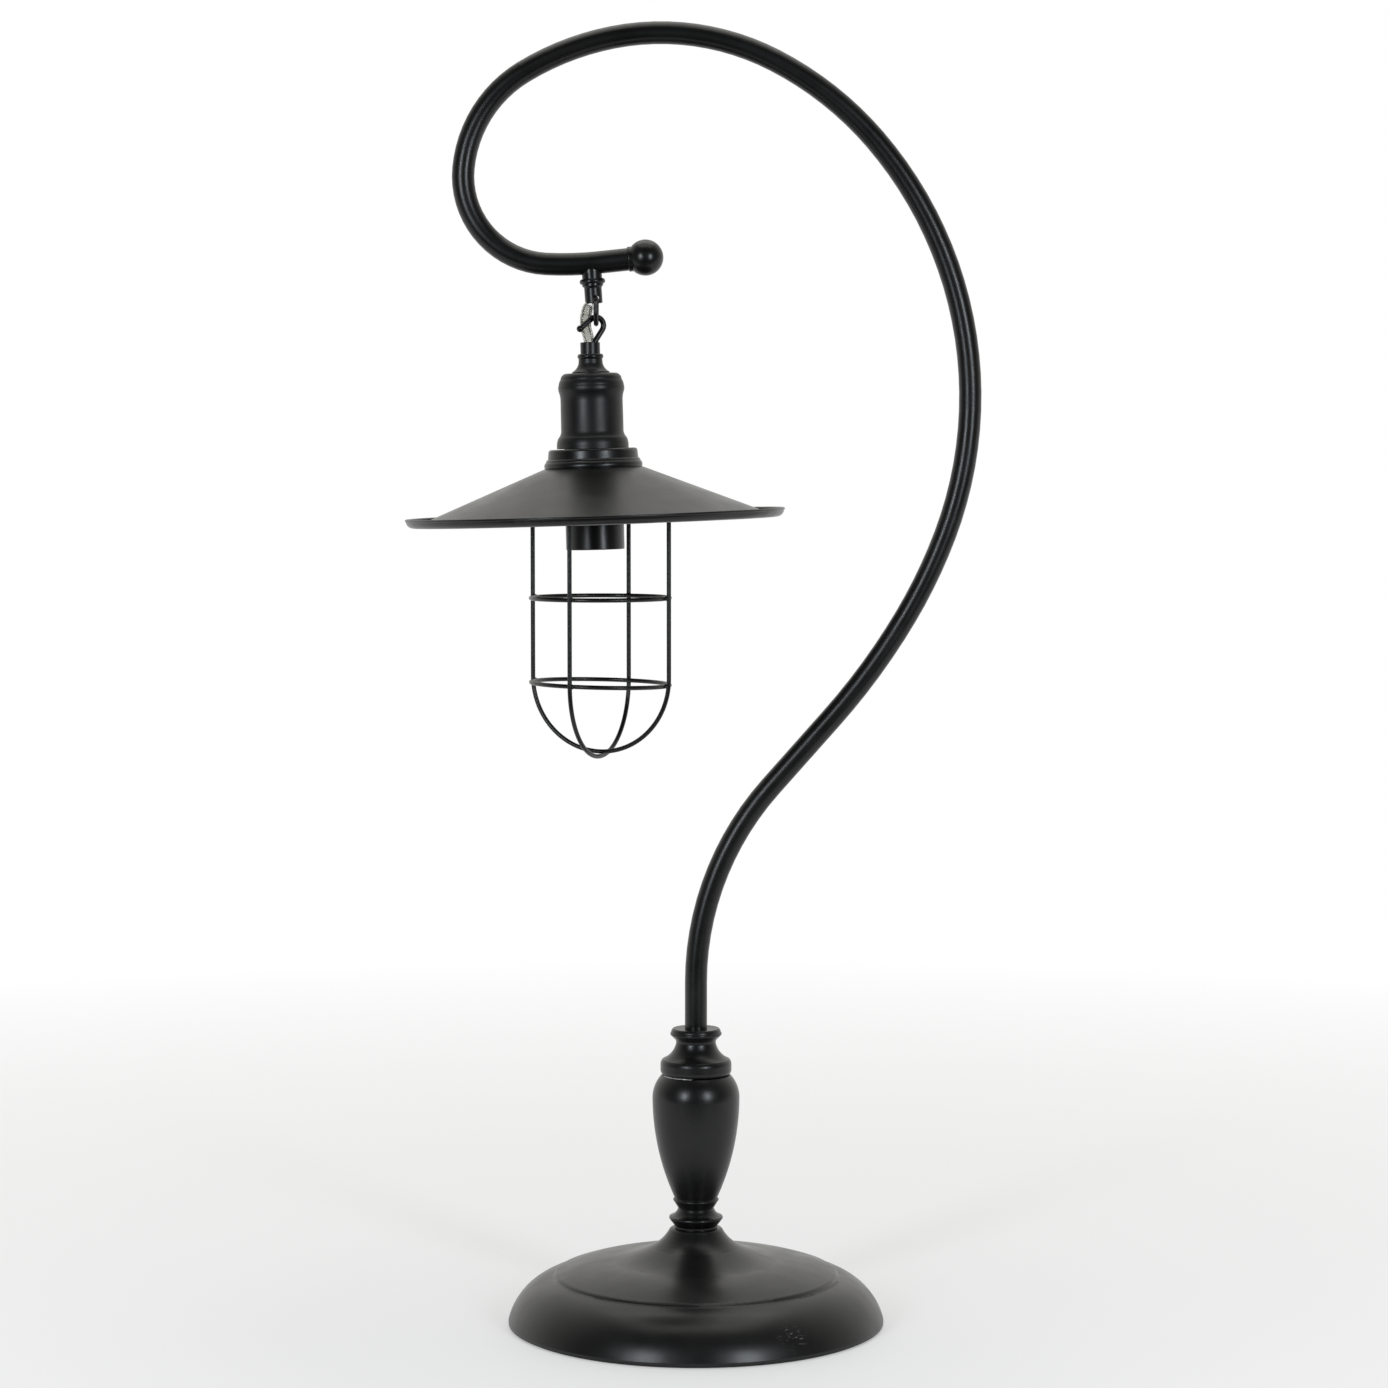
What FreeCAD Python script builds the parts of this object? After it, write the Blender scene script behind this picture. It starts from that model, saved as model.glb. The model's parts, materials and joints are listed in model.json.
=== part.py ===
"""Crook-stand table lamp with a hanging barn lantern.

+Z is up, +X is the side that the crook first leans to, and the lamp's front faces -Y. The origin
is the centre of the face that the lamp rests on. Lengths are millimetres, angles degrees.
"""

import FreeCAD, Part
import math
import os

import Sketcher

Vector = FreeCAD.Vector
Placement = FreeCAD.Placement
Rotation = FreeCAD.Rotation
Constraint = Sketcher.Constraint

X_AXIS = Vector(1, 0, 0)
Y_AXIS = Vector(0, 1, 0)
Z_AXIS = Vector(0, 0, 1)
NO_TURN = Rotation()
ROOT_POINT = -1
HORIZONTAL_AXIS = -1
VERTICAL_AXIS = -2
WIRE_START = 1
WIRE_END = 2
CENTRE = 3

# The driving dimensions, which become the cells of the sheet.
DIMENSIONS = {
    "base_radius": 114.3,
    "base_wall": 1.6,
    "base_top": 58.7,
    "rim_height": 1.0,
    "rim_span": 25.9,
    "rim_bend": 36.6,
    "rim_bend_start": 3.0,
    "felt_thickness": 2.0,
    "cover_thickness": 1.2,
    "disc_radius": 112.2,
    "weight_radius": 92.0,
    "weight_top": 20.0,
    "rod_radius": 5.0,
    "rod_bore": 3.0,
    "rod_bottom": 8.0,
    "rod_top": 152.0,
    "knob_top": 70.8,
    "vase_radius": 26.5,
    "vase_top": 152.5,
    "collar_bottom": 152.9,
    "collar_top": 181.0,
    "coupling_radius": 9.0,
    "tube_radius": 6.75,
    "tube_wall": 1.2,
    "tube_bottom": 156.0,
    "tube_foot_length": 53.0,
    "tube_slope_length": 55.0,
    "tube_end_length": 18.0,
    "ball_radius": 10.8,
    "inlet_height": 10.0,
    "inlet_radius": 4.6,
    "hanger_x": -62.9,
    "hanger_z": 643.3,
    "hanger_lean": 4.0,
    "nipple_radius": 4.0,
    "nipple_bore": 2.9,
    "thread_gap": 0.05,
    "cup_radius": 5.25,
    "cup_bore": 4.5,
    "cup_bottom": 24.1,
    "cross_hole_drop": 21.3,
    "cross_hole_shift": 1.5,
    "cross_hole_radius": 1.8,
    "link_wire_radius": 1.45,
    "link_half_width": 7.5,
    "link_corner": 2.5,
    "link_drop": 15.25,
    "hook_wire_radius": 1.7,
    "hook_bend": 4.8,
    "hook_yaw": 25.0,
    "lead_radius": 1.1,
    "lantern_x": -63.6,
    "lantern_z": 596.0,
    "lantern_tilt": 1.4,
    "shade_tilt": 0.5,
    "cap_radius": 18.7,
    "cap_wall": 1.0,
    "cap_bottom": 532.4,
    "cap_top": 577.8,
    "shade_radius": 114.3,
    "shade_wall": 0.8,
    "shade_slope": 22.0,
    "shade_hole": 17.8,
    "lip_bend": 3.6,
    "lip_bead": 0.9,
    "lip_centre_z": 492.4,
    "socket_radius": 17.6,
    "socket_bottom": 471.7,
    "socket_top": 555.0,
    "shell_bore": 13.3,
    "shell_wall": 0.4,
    "disc_bottom": 498.0,
    "disc_top": 500.5,
    "plate_top": 530.5,
    "plate_bottom": 529.3,
    "cage_radius": 44.7,
    "cage_shift": 4.3,
    "cage_wire_radius": 1.35,
    "ring_wire_radius": 1.3,
    "cage_yaw": 22.0,
    "cage_bottom": 346.7,
    "ring_upper_z": 442.5,
    "ring_lower_z": 390.8,
    "ring_lower_tilt": 1.4,
    "weld_gap": 0.2,
}

# The bends of the crook after its straight slope, all to the left: radius and angle.
CROOK_BENDS = (
    (400.0, 11.0),
    (310.0, 10.0),
    (235.0, 61.5),
    (200.0, 22.0),
    (150.0, 38.0),
    (165.0, 20.0),
    (75.0, 53.5),
    (52.0, 92.5),
    (200.0, 9.0),
)
FOOT_BEND = (180.0, 41.5)


class Size:
    """A dimension: its number, and the formula that ties it to the sheet."""

    def __init__(self, number, formula):
        self.number = number
        self.formula = formula

    def __add__(self, other):
        return Size(self.number + number_of(other), f"({self.formula} + {formula_of(other)})")

    def __sub__(self, other):
        return Size(self.number - number_of(other), f"({self.formula} - {formula_of(other)})")

    def __mul__(self, factor):
        return Size(self.number * factor, f"({self.formula} * {factor})")

    def __neg__(self):
        return self * -1


def number_of(value):
    return value.number if isinstance(value, Size) else float(value)


def formula_of(value):
    return value.formula if isinstance(value, Size) else repr(float(value))


class Sizes:
    """Reads like a set of named dimensions: sizes.base_radius and so on."""

    def __init__(self, sheet, values):
        for name, number in values.items():
            setattr(self, name, Size(float(number), f"{sheet.Name}.{name}"))


def make_sheet(document, values):
    sheet = document.addObject("Spreadsheet::Sheet", "Dimensions")
    for row, (name, number) in enumerate(values.items(), start=1):
        sheet.set(f"A{row}", name)
        sheet.set(f"B{row}", str(number))
        sheet.setAlias(f"B{row}", name)
    return sheet


doc = FreeCAD.newDocument("CrookLamp")
bend_cells = {}
for index, (bend_radius, bend_angle) in enumerate((FOOT_BEND, *CROOK_BENDS)):
    bend_cells[f"bend_radius_{index}"] = bend_radius
    bend_cells[f"bend_angle_{index}"] = bend_angle
sheet = make_sheet(doc, {**DIMENSIONS, **bend_cells})
doc.recompute()
S = Sizes(sheet, {**DIMENSIONS, **bend_cells})


# Helpers: sketches and the solids made from them


def bind(thing, **values):
    """Set properties of a document object, and tie each one to the sheet."""
    for name, value in values.items():
        setattr(thing, name, number_of(value))
        if isinstance(value, Size):
            thing.setExpression(name, value.formula)


def constrain(sketch, kind, *where, value):
    place = sketch.addConstraint(Constraint(kind, *where, number_of(value)))
    if isinstance(value, Size):
        sketch.setExpression(f"Constraints[{place}]", value.formula)


def pin_point(sketch, edge, end, x, y):
    """Fix one end of an edge at a place in its sketch."""
    for kind, axis, value in (("DistanceX", VERTICAL_AXIS, x), ("DistanceY", HORIZONTAL_AXIS, y)):
        if number_of(value) == 0:
            sketch.addConstraint(Constraint("PointOnObject", edge, end, axis))
        else:
            constrain(sketch, kind, ROOT_POINT, WIRE_START, edge, end, value=value)


def arc_between(start, end, radius):
    """The short arc from start to end: it turns left where radius is positive, else right."""
    chord = end - start
    middle = (start + end) * 0.5
    left = Vector(-chord.y, chord.x, 0).normalize()
    reach = math.sqrt(max(radius * radius - chord.Length**2 / 4, 0))
    centre = middle + left * (reach if radius > 0 else -reach)
    first = math.atan2(start.y - centre.y, start.x - centre.x)
    last = math.atan2(end.y - centre.y, end.x - centre.x)
    circle = Part.Circle(centre, Z_AXIS, abs(radius))
    if radius > 0:
        return Part.ArcOfCircle(circle, first, last)
    return Part.ArcOfCircle(circle, last, first)


def draw_outline(sketch, outline, closed=True):
    """Draw an outline of corners (x, y) or (x, y, radius), where an arc of that radius arrives."""
    corners = [Vector(number_of(c[0]), number_of(c[1]), 0) for c in outline]
    steps = len(outline) if closed else len(outline) - 1
    leading = []
    for step in range(steps):
        target = (step + 1) % len(outline)
        radius = outline[target][2] if len(outline[target]) > 2 else None
        if radius is None:
            edge = Part.LineSegment(corners[step], corners[target])
            ends = (WIRE_START, WIRE_END)
        else:
            edge = arc_between(corners[step], corners[target], number_of(radius))
            ends = (WIRE_START, WIRE_END) if number_of(radius) > 0 else (WIRE_END, WIRE_START)
        place = sketch.addGeometry(edge)
        if radius is not None:
            bend = radius if number_of(radius) > 0 else radius * -1
            constrain(sketch, "Radius", place, value=bend)
        leading.append((place, ends))
    for step, (place, ends) in enumerate(leading):
        pin_point(sketch, place, ends[0], outline[step][0], outline[step][1])
        if step:
            before, before_ends = leading[step - 1]
            sketch.addConstraint(Constraint("Coincident", before, before_ends[1], place, ends[0]))
    last, last_ends = leading[-1]
    if closed:
        first, first_ends = leading[0]
        sketch.addConstraint(Constraint("Coincident", last, last_ends[1], first, first_ends[0]))
    else:
        pin_point(sketch, last, last_ends[1], outline[-1][0], outline[-1][1])


def origin_plane(body, role):
    for feature in body.Origin.OriginFeatures:
        if feature.Role == role:
            return feature
    raise ValueError(role)


def body_sketch(body, name, role="XZ_Plane", offset=None):
    """A sketch on one of a body's own origin planes, moved along the plane's normal if asked."""
    sketch = body.newObject("Sketcher::SketchObject", name)
    sketch.AttachmentSupport = [(origin_plane(body, role), "")]
    sketch.MapMode = "FlatFace"
    if offset:
        sketch.AttachmentOffset = Placement(Vector(0, 0, number_of(offset)), NO_TURN)
        if isinstance(offset, Size):
            sketch.setExpression("AttachmentOffset.Base.z", offset.formula)
    return sketch


def new_body(name):
    body = doc.addObject("PartDesign::Body", name)
    body.Label = name
    return body


def turned(name, outline):
    """A lathe-turned piece: a closed outline of (radius, height) turned about the Z axis."""
    body = new_body(name)
    sketch = body_sketch(body, name + "_outline")
    draw_outline(sketch, outline)
    solid = body.newObject("PartDesign::Revolution", name + "_turned")
    solid.Profile = sketch
    solid.ReferenceAxis = (sketch, ["V_Axis"])
    solid.Angle = 360.0
    return body


def spun(name, outline, wall):
    """A spun sheet-metal piece: an open outline of its outer face, thickened and turned.

    The wall's sign picks the side of the outline that it lies on.
    """
    sketch = doc.addObject("Sketcher::SketchObject", name + "_outline")
    sketch.Placement = Placement(Vector(), Rotation(X_AXIS, 90))
    draw_outline(sketch, outline, closed=False)
    sheet_section = doc.addObject("Part::Offset2D", name + "_section")
    sheet_section.Source = sketch
    sheet_section.Mode = "Skin"
    sheet_section.Join = "Arc"
    sheet_section.Fill = True
    bind(sheet_section, Value=wall)
    solid = doc.addObject("Part::Revolution", name)
    solid.Source = sheet_section
    solid.Base = Vector()
    solid.Axis = Z_AXIS
    solid.Angle = 360.0
    solid.Solid = True
    solid.Label = name
    return solid


def sleeve(name, bottom, top, radius, bore=None):
    """A round disc, ring or tube about the Z axis."""
    body = new_body(name)
    sketch = body_sketch(body, name + "_rings", "XY_Plane", bottom)
    for ring_radius in (radius, bore):
        if ring_radius is None:
            continue
        place = sketch.addGeometry(Part.Circle(Vector(), Z_AXIS, number_of(ring_radius)))
        sketch.addConstraint(Constraint("Coincident", place, CENTRE, ROOT_POINT, WIRE_START))
        constrain(sketch, "Radius", place, value=ring_radius)
    pad = body.newObject("PartDesign::Pad", name + "_pad")
    pad.Profile = sketch
    bind(pad, Length=top - bottom)
    return body


def cylinder(name, radius, height, place):
    tool = doc.addObject("Part::Cylinder", name)
    bind(tool, Radius=radius, Height=height)
    tool.Placement = place
    return tool


def cut(name, base, *tools):
    """The base piece less each tool in turn."""
    solid = base
    for index, tool in enumerate(tools):
        step = doc.addObject("Part::Cut", name if tool is tools[-1] else f"{name}_cut_{index}")
        step.Base = solid
        step.Tool = tool
        solid = step
    base.Label = name + "_blank"
    solid.Label = name
    return solid


def fused(name, *pieces):
    solid = doc.addObject("Part::MultiFuse", name)
    solid.Shapes = list(pieces)
    for index, piece in enumerate(pieces):
        piece.Label = f"{name}_piece_{index}"
    solid.Label = name
    return solid


def hexagon_nut(name, bottom, top, corner_radius, bore):
    prism = doc.addObject("Part::Prism", name + "_prism")
    prism.Polygon = 6
    bind(prism, Circumradius=corner_radius, Height=top - bottom)
    prism.Placement = Placement(Vector(0, 0, number_of(bottom)), NO_TURN)
    hole_place = Placement(Vector(0, 0, number_of(bottom) - 1), NO_TURN)
    hole = cylinder(name + "_hole", bore, top - bottom + 2, hole_place)
    return cut(name, prism, hole)


def bend_chain(start, heading, steps):
    """Straight runs and arcs that follow one another without a corner.

    A step is a length, or a radius and a signed angle, positive to the left.
    Returns each edge with its leading and trailing end, and then the last point and heading.
    """
    here = start
    direction = math.radians(heading)
    edges = []
    for step in steps:
        if len(step) == 1:
            ahead = Vector(math.cos(direction), math.sin(direction), 0) * number_of(step[0])
            edges.append((Part.LineSegment(here, here + ahead), WIRE_START, WIRE_END))
            here = here + ahead
            continue
        radius = number_of(step[0])
        turn = math.radians(number_of(step[1]))
        side = math.copysign(1, turn)
        centre = here + Vector(-math.sin(direction), math.cos(direction), 0) * (side * radius)
        circle = Part.Circle(centre, Z_AXIS, radius)
        first = math.atan2(here.y - centre.y, here.x - centre.x)
        direction += turn
        here = centre + Vector(math.sin(direction), -math.cos(direction), 0) * (side * radius)
        if side > 0:
            edges.append((Part.ArcOfCircle(circle, first, first + turn), WIRE_START, WIRE_END))
        else:
            edges.append((Part.ArcOfCircle(circle, first + turn, first), WIRE_END, WIRE_START))
    return edges, here, math.degrees(direction)


def draw_chain(sketch, start, heading, steps):
    """Draw a bend chain as a sketch that its lengths, radii and angles fully define."""
    numbers = Vector(number_of(start[0]), number_of(start[1]), 0)
    edges, end_point, end_heading = bend_chain(numbers, heading, steps)
    sketch.addGeometry([edge for edge, _, _ in edges])
    pin_point(sketch, 0, edges[0][1], start[0], start[1])
    heading_kind = "Vertical" if heading % 180 == 90 else "Horizontal"
    sketch.addConstraint(Constraint(heading_kind, 0))
    for place, (step, (_, first, _)) in enumerate(zip(steps, edges)):
        if len(step) == 1:
            constrain(sketch, "Distance", place, value=step[0])
        else:
            turn = step[1] if number_of(step[1]) > 0 else step[1] * -1
            constrain(sketch, "Radius", place, value=step[0])
            constrain_angle(sketch, place, turn)
        if place:
            before_end = edges[place - 1][2]
            sketch.addConstraint(Constraint("Tangent", place - 1, before_end, place, first))
    return end_point, end_heading


def constrain_angle(sketch, place, turn):
    """Fix the angle that an arc spans, in degrees."""
    number = sketch.addConstraint(Constraint("Angle", place, math.radians(number_of(turn))))
    if isinstance(turn, Size):
        sketch.setExpression(f"Constraints[{number}]", turn.formula + " * 1 deg")


def bent(name, start, heading, steps, radius, bore=None, path_role="XZ_Plane", section=None):
    """A rod or tube bent along a chain; section is its start's plane and that plane's offset."""
    body = new_body(name)
    path = body_sketch(body, name + "_path", path_role)
    draw_chain(path, start, heading, steps)
    role, offset, centre = section
    ring = body_sketch(body, name + "_section", role, offset)
    for ring_radius in (radius, bore):
        if ring_radius is None:
            continue
        middle = Vector(number_of(centre[0]), number_of(centre[1]), 0)
        place = ring.addGeometry(Part.Circle(middle, Z_AXIS, number_of(ring_radius)))
        pin_point(ring, place, CENTRE, centre[0], centre[1])
        constrain(ring, "Radius", place, value=ring_radius)
    doc.recompute()
    pipe = body.newObject("PartDesign::AdditivePipe", name + "_pipe")
    pipe.Profile = ring
    pipe.Spine = (path, [])
    return body


def rounded_route(points, share=0.45):
    """Straight runs through points in space, with a tangent arc at each inner point."""
    route = []
    here = points[0]
    for before, corner, after in zip(points, points[1:], points[2:]):
        way_in = (corner - before).normalize()
        way_out = (after - corner).normalize()
        half_turn = way_in.getAngle(way_out) / 2
        reach = share * min((corner - before).Length, (after - corner).Length)
        radius = reach / math.tan(half_turn)
        inward = (way_out - way_in).normalize()
        middle = corner + inward * (radius / math.cos(half_turn) - radius)
        arc = Part.Arc(corner - way_in * reach, middle, corner + way_out * reach)
        route.append(Part.LineSegment(here, arc.StartPoint).toShape())
        route.append(arc.toShape())
        here = arc.EndPoint
        print(f"    lead bend radius {radius:.1f} mm")
    route.append(Part.LineSegment(here, points[-1]).toShape())
    return route


def swept_rod(name, edges, radius, place=None):
    """A round rod along edges in space, for a route that no single plane holds."""
    wire = Part.Wire(edges)
    start = edges[0].valueAt(edges[0].FirstParameter)
    tangent = edges[0].tangentAt(edges[0].FirstParameter)
    ring = Part.Wire(Part.Circle(start, tangent, number_of(radius)).toShape())
    feature = doc.addObject("Part::Feature", name)
    feature.Label = name
    feature.Shape = wire.makePipeShell([ring], True, False)
    expected = wire.Length * math.pi * number_of(radius) ** 2
    if abs(feature.Shape.Volume / expected - 1) > 0.02:
        raise ValueError(f"{name} has the wrong volume")
    if place is not None:
        feature.Placement = place
    return feature


def leaning(origin_x, origin_z, angle, local_z=0.0):
    """A frame whose point (0, 0, local_z) is at (origin_x, 0, origin_z), leaning left by angle."""
    turn = Rotation(Y_AXIS, -number_of(angle))
    there = Placement(Vector(number_of(origin_x), 0, number_of(origin_z)), turn)
    return there.multiply(Placement(Vector(0, 0, -number_of(local_z)), NO_TURN))


def raised(height):
    return Placement(Vector(0, 0, number_of(height)), NO_TURN)


ALONG_Y = Rotation(X_AXIS, -90)
ALONG_X = Rotation(Y_AXIS, 90)
HANGER = leaning(S.hanger_x, S.hanger_z, S.hanger_lean)
LANTERN = leaning(S.lantern_x, S.lantern_z, S.lantern_tilt, S.lantern_z)
SHADE = LANTERN.multiply(leaning(0.0, S.cap_bottom, S.shade_tilt, S.cap_bottom))
PLATE_CENTRE = LANTERN.multVec(Vector(0, 0, (S.plate_top.number + S.plate_bottom.number) / 2))
CAGE = Placement(Vector(PLATE_CENTRE.x, 0, 0), NO_TURN)
LEAD_SEAT = Vector(-0.8, 0.3, 588.0)
THREAD_BORE = S.nipple_radius + S.thread_gap
nodes = []


def keep(piece, place=None):
    """Add a finished piece to the lamp, in the frame that it is drawn in."""
    if place is not None:
        piece.Placement = place
    nodes.append(piece)
    return piece


# Base


def make_base_shell():
    outline = (
        (S.base_radius, S.rim_height),
        (S.base_radius, S.rim_bend_start),
        (S.base_radius - S.rim_span, S.rim_bend_start + S.rim_span, S.rim_bend),
        (86.4, 29.9, -2.6),
        (84.4, 31.6, 3.2),
        (50.0, 39.5, 150.0),
        (26.5, 47.2, -75.0),
        (16.4, 57.2, -26.0),
        (14.0, S.base_top, 2.4),
        (5.2, S.base_top),
    )
    shell = spun("base_shell_dome", outline, S.base_wall)
    inlet_length = 10.0
    place = inlet_seat().multiply(raised(-inlet_length / 2))
    inlet = cylinder("inlet_hole", S.inlet_radius, inlet_length, place)
    return cut("base_shell", shell, inlet)


def inlet_seat():
    """The frame of the inlet: square to the dome's outer face, at the inlet's height."""
    bend = S.rim_bend.number
    half_span = S.rim_span.number / 2
    inset = math.sqrt((bend**2 - 2 * half_span**2) / 2)
    centre_r = S.base_radius.number - half_span - inset
    centre_z = S.rim_bend_start.number + half_span - inset
    tilt = math.asin((S.inlet_height.number - centre_z) / bend)
    reach = centre_r + bend * math.cos(tilt)
    turn = Rotation(X_AXIS, math.degrees(tilt) - 90)
    return Placement(Vector(0, reach, S.inlet_height.number), turn)


def make_base_weight():
    bottom = S.felt_thickness + S.cover_thickness + 0.2
    recess_roof = 16.0
    recess_radius = 18.0
    channel_width = 8.0
    channel_height = 8.0
    rod_hole = S.rod_radius + 0.3
    blank = turned(
        "base_weight_disc",
        (
            (recess_radius, bottom),
            (S.weight_radius, bottom),
            (S.weight_radius, 12.0),
            (S.weight_radius - 10, S.weight_top),
            (rod_hole, S.weight_top),
            (rod_hole, recess_roof),
            (recess_radius, recess_roof),
        ),
    )
    channel = doc.addObject("Part::Box", "lead_channel")
    bind(channel, Length=channel_width, Width=S.weight_radius + 1, Height=channel_height)
    channel.Placement = Placement(Vector(-channel_width / 2, 0, bottom.number), NO_TURN)
    return cut("base_weight", blank, channel)


def make_inlet_bushing():
    """A snap bushing, drawn along Z from inside the shell (below) to outside."""
    bore = 3.0
    flange_radius = 7.0
    return turned(
        "inlet_bushing",
        (
            (bore, -4.0),
            (4.9, -4.0),
            (5.2, -2.8),
            (S.inlet_radius - 0.1, -2.2),
            (S.inlet_radius - 0.1, 0.2),
            (flange_radius, 0.2),
            (flange_radius, 1.0),
            (flange_radius - 1.2, 2.0, 1.3),
            (bore + 0.8, 2.0),
            (bore, 1.2, -0.8),
        ),
    )


def add_base():
    cover_top = S.felt_thickness + S.cover_thickness
    keep(make_base_shell())
    keep(make_base_weight())
    keep(sleeve("base_cover", S.felt_thickness, cover_top, S.disc_radius, 20.0))
    keep(sleeve("felt_pad", 0.0, S.felt_thickness, S.disc_radius))
    keep(make_inlet_bushing(), inlet_seat())
    rod_hole = S.rod_radius + 0.2
    washer_bottom = S.rod_bottom + 6.4
    keep(sleeve("threaded_rod", S.rod_bottom, S.rod_top, S.rod_radius, S.rod_bore))
    keep(sleeve("rod_washer", washer_bottom, washer_bottom + 1.6, 12.0, rod_hole))
    keep(hexagon_nut("rod_nut", washer_bottom - 6, washer_bottom, 10.5, S.rod_radius + 0.05))


# Column


def add_column():
    rod_hole = S.rod_radius + 0.2
    coupling_hole = S.coupling_radius + 0.2
    coupling_bottom = S.vase_top - 14.3
    coupling_step = S.tube_bottom - 0.2
    coupling_top = S.tube_bottom + 12
    keep(
        turned(
            "neck_knob",
            (
                (rod_hole, S.base_top),
                (12.8, S.base_top),
                (12.8, 59.9),
                (16.0, 64.0),
                (16.0, 65.8, 1.3),
                (11.2, 69.9, -7.0),
                (10.8, S.knob_top),
                (rod_hole, S.knob_top),
            ),
        )
    )
    keep(
        turned(
            "column_vase",
            (
                (rod_hole, S.knob_top),
                (10.8, S.knob_top),
                (13.5, 75.2),
                (13.5, 76.7, 0.9),
                (13.1, 77.4),
                (S.vase_radius, 139.0, 150.0),
                (20.9, S.vase_top, 20.0),
                (coupling_hole, S.vase_top),
                (coupling_hole, coupling_bottom - 0.2),
                (rod_hole, coupling_bottom - 0.2),
                (rod_hole, coupling_bottom - 5),
                (19.5, 128.0),
                (9.5, 84.0),
                (rod_hole, 80.0),
            ),
        )
    )
    keep(
        turned(
            "column_collar",
            (
                (coupling_hole, S.collar_bottom),
                (20.2, S.collar_bottom),
                (21.6, 156.2, 4.0),
                (21.6, 159.2),
                (20.3, 162.2, 4.2),
                (12.2, 171.6, -13.5),
                (12.9, 174.6, -3.0),
                (15.1, 176.7),
                (15.1, 178.8, 1.3),
                (13.9, S.collar_top, 2.6),
                (S.tube_radius + 0.1, S.collar_top),
                (S.tube_radius + 0.1, coupling_top + 0.2),
                (coupling_hole, coupling_top + 0.2),
            ),
        )
    )
    keep(
        turned(
            "tube_coupling",
            (
                (S.rod_radius + 0.05, coupling_bottom),
                (S.coupling_radius, coupling_bottom),
                (S.coupling_radius, coupling_top),
                (S.tube_radius + 0.05, coupling_top),
                (S.tube_radius + 0.05, coupling_step),
                (S.rod_radius + 0.05, coupling_step),
            ),
        )
    )


# Crook


def crook_steps():
    """The crook's runs and bends from its foot: up, right, along the slope, then left."""
    steps = [(S.tube_foot_length,), (S.bend_radius_0, -S.bend_angle_0), (S.tube_slope_length,)]
    for number in range(1, len(CROOK_BENDS) + 1):
        steps.append((getattr(S, f"bend_radius_{number}"), getattr(S, f"bend_angle_{number}")))
    steps.append((S.tube_end_length,))
    return steps


def add_crook():
    bore = S.tube_radius - S.tube_wall
    foot = (0.0, S.tube_bottom)
    section = ("XY_Plane", S.tube_bottom, (0.0, 0.0))
    tube = bent("crook_tube_bent", foot, 90, crook_steps(), S.tube_radius, bore, section=section)
    drill_length = S.tube_radius + 3
    drill_place = HANGER.multiply(raised(-drill_length.number))
    drill = cylinder("nipple_hole", THREAD_BORE, drill_length, drill_place)
    keep(cut("crook_tube", tube, drill))

    start = Vector(0, S.tube_bottom.number, 0)
    _, end, heading = bend_chain(start, 90, crook_steps())
    ball_centre = 10.6
    spigot_radius = bore - 0.05
    spigot_length = 12.0
    neck = turned(
        "end_ball_neck",
        (
            (0.0, -spigot_length),
            (spigot_radius - 0.8, -spigot_length),
            (spigot_radius, 0.8 - spigot_length),
            (spigot_radius, 0.05),
            (S.tube_radius + 0.15, 0.05),
            (7.5, 1.0, 1.0),
            (7.35, 3.2),
            (6.0, 6.0),
            (0.0, 6.0),
        ),
    )
    ball = doc.addObject("Part::Sphere", "end_ball_sphere")
    bind(ball, Radius=S.ball_radius)
    ball.Placement = raised(ball_centre)
    along_tube = Rotation(Y_AXIS, 90 - heading)
    keep(fused("end_ball", neck, ball), Placement(Vector(end.x, 0, end.y), along_tube))


# Hanger under the tube, drawn below its own origin on the tube's centre line


def add_hanger():
    boss_top = -4.0
    boss_bottom = -9.5
    flange_bottom = -12.5
    nipple_top = -3.6
    nipple_bottom = -15.2
    saddle_length = 30.0
    boss = sleeve("hanger_boss_ring", boss_bottom, boss_top, 6.0, THREAD_BORE)
    saddle_place = Placement(Vector(-saddle_length / 2, 0, 0), ALONG_X)
    saddle = cylinder("boss_saddle", S.tube_radius + 0.2, saddle_length, saddle_place)
    keep(cut("hanger_boss", boss, saddle), HANGER)
    keep(
        turned(
            "hanger_flange",
            (
                (THREAD_BORE, flange_bottom),
                (6.9, flange_bottom),
                (6.9, boss_bottom, 1.8),
                (THREAD_BORE, boss_bottom),
            ),
        ),
        HANGER,
    )
    nipple = sleeve("hanger_nipple", nipple_bottom, nipple_top, S.nipple_radius, S.nipple_bore)
    keep(nipple, HANGER)
    cup = turned(
        "hanger_cup_turned",
        (
            (S.cup_bore, -S.cup_bottom),
            (S.cup_radius - 0.3, -S.cup_bottom),
            (S.cup_radius, 0.3 - S.cup_bottom.number),
            (S.cup_radius, -15.4),
            (6.3, -13.8, -1.6),
            (6.3, flange_bottom),
            (THREAD_BORE, flange_bottom),
            (THREAD_BORE, nipple_bottom - 0.2),
            (S.cup_bore, nipple_bottom - 0.2),
        ),
    )
    hole_length = S.cup_radius * 2 + 4
    hole_start = cross_hole_centre() - Vector(0, hole_length.number / 2, 0)
    hole = cylinder("cross_hole", S.cross_hole_radius, hole_length, Placement(hole_start, ALONG_Y))
    keep(cut("hanger_cup", cup, hole), HANGER)


# Link: a closed loop in the YZ plane, hung from the middle of its straight top bar


def cross_hole_centre():
    """The middle of the cup's cross hole in the hanger's frame, a little right of its axis."""
    return Vector(S.cross_hole_shift.number, 0, -S.cross_hole_drop.number)


def link_pivot():
    return HANGER.multVec(cross_hole_centre())


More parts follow.
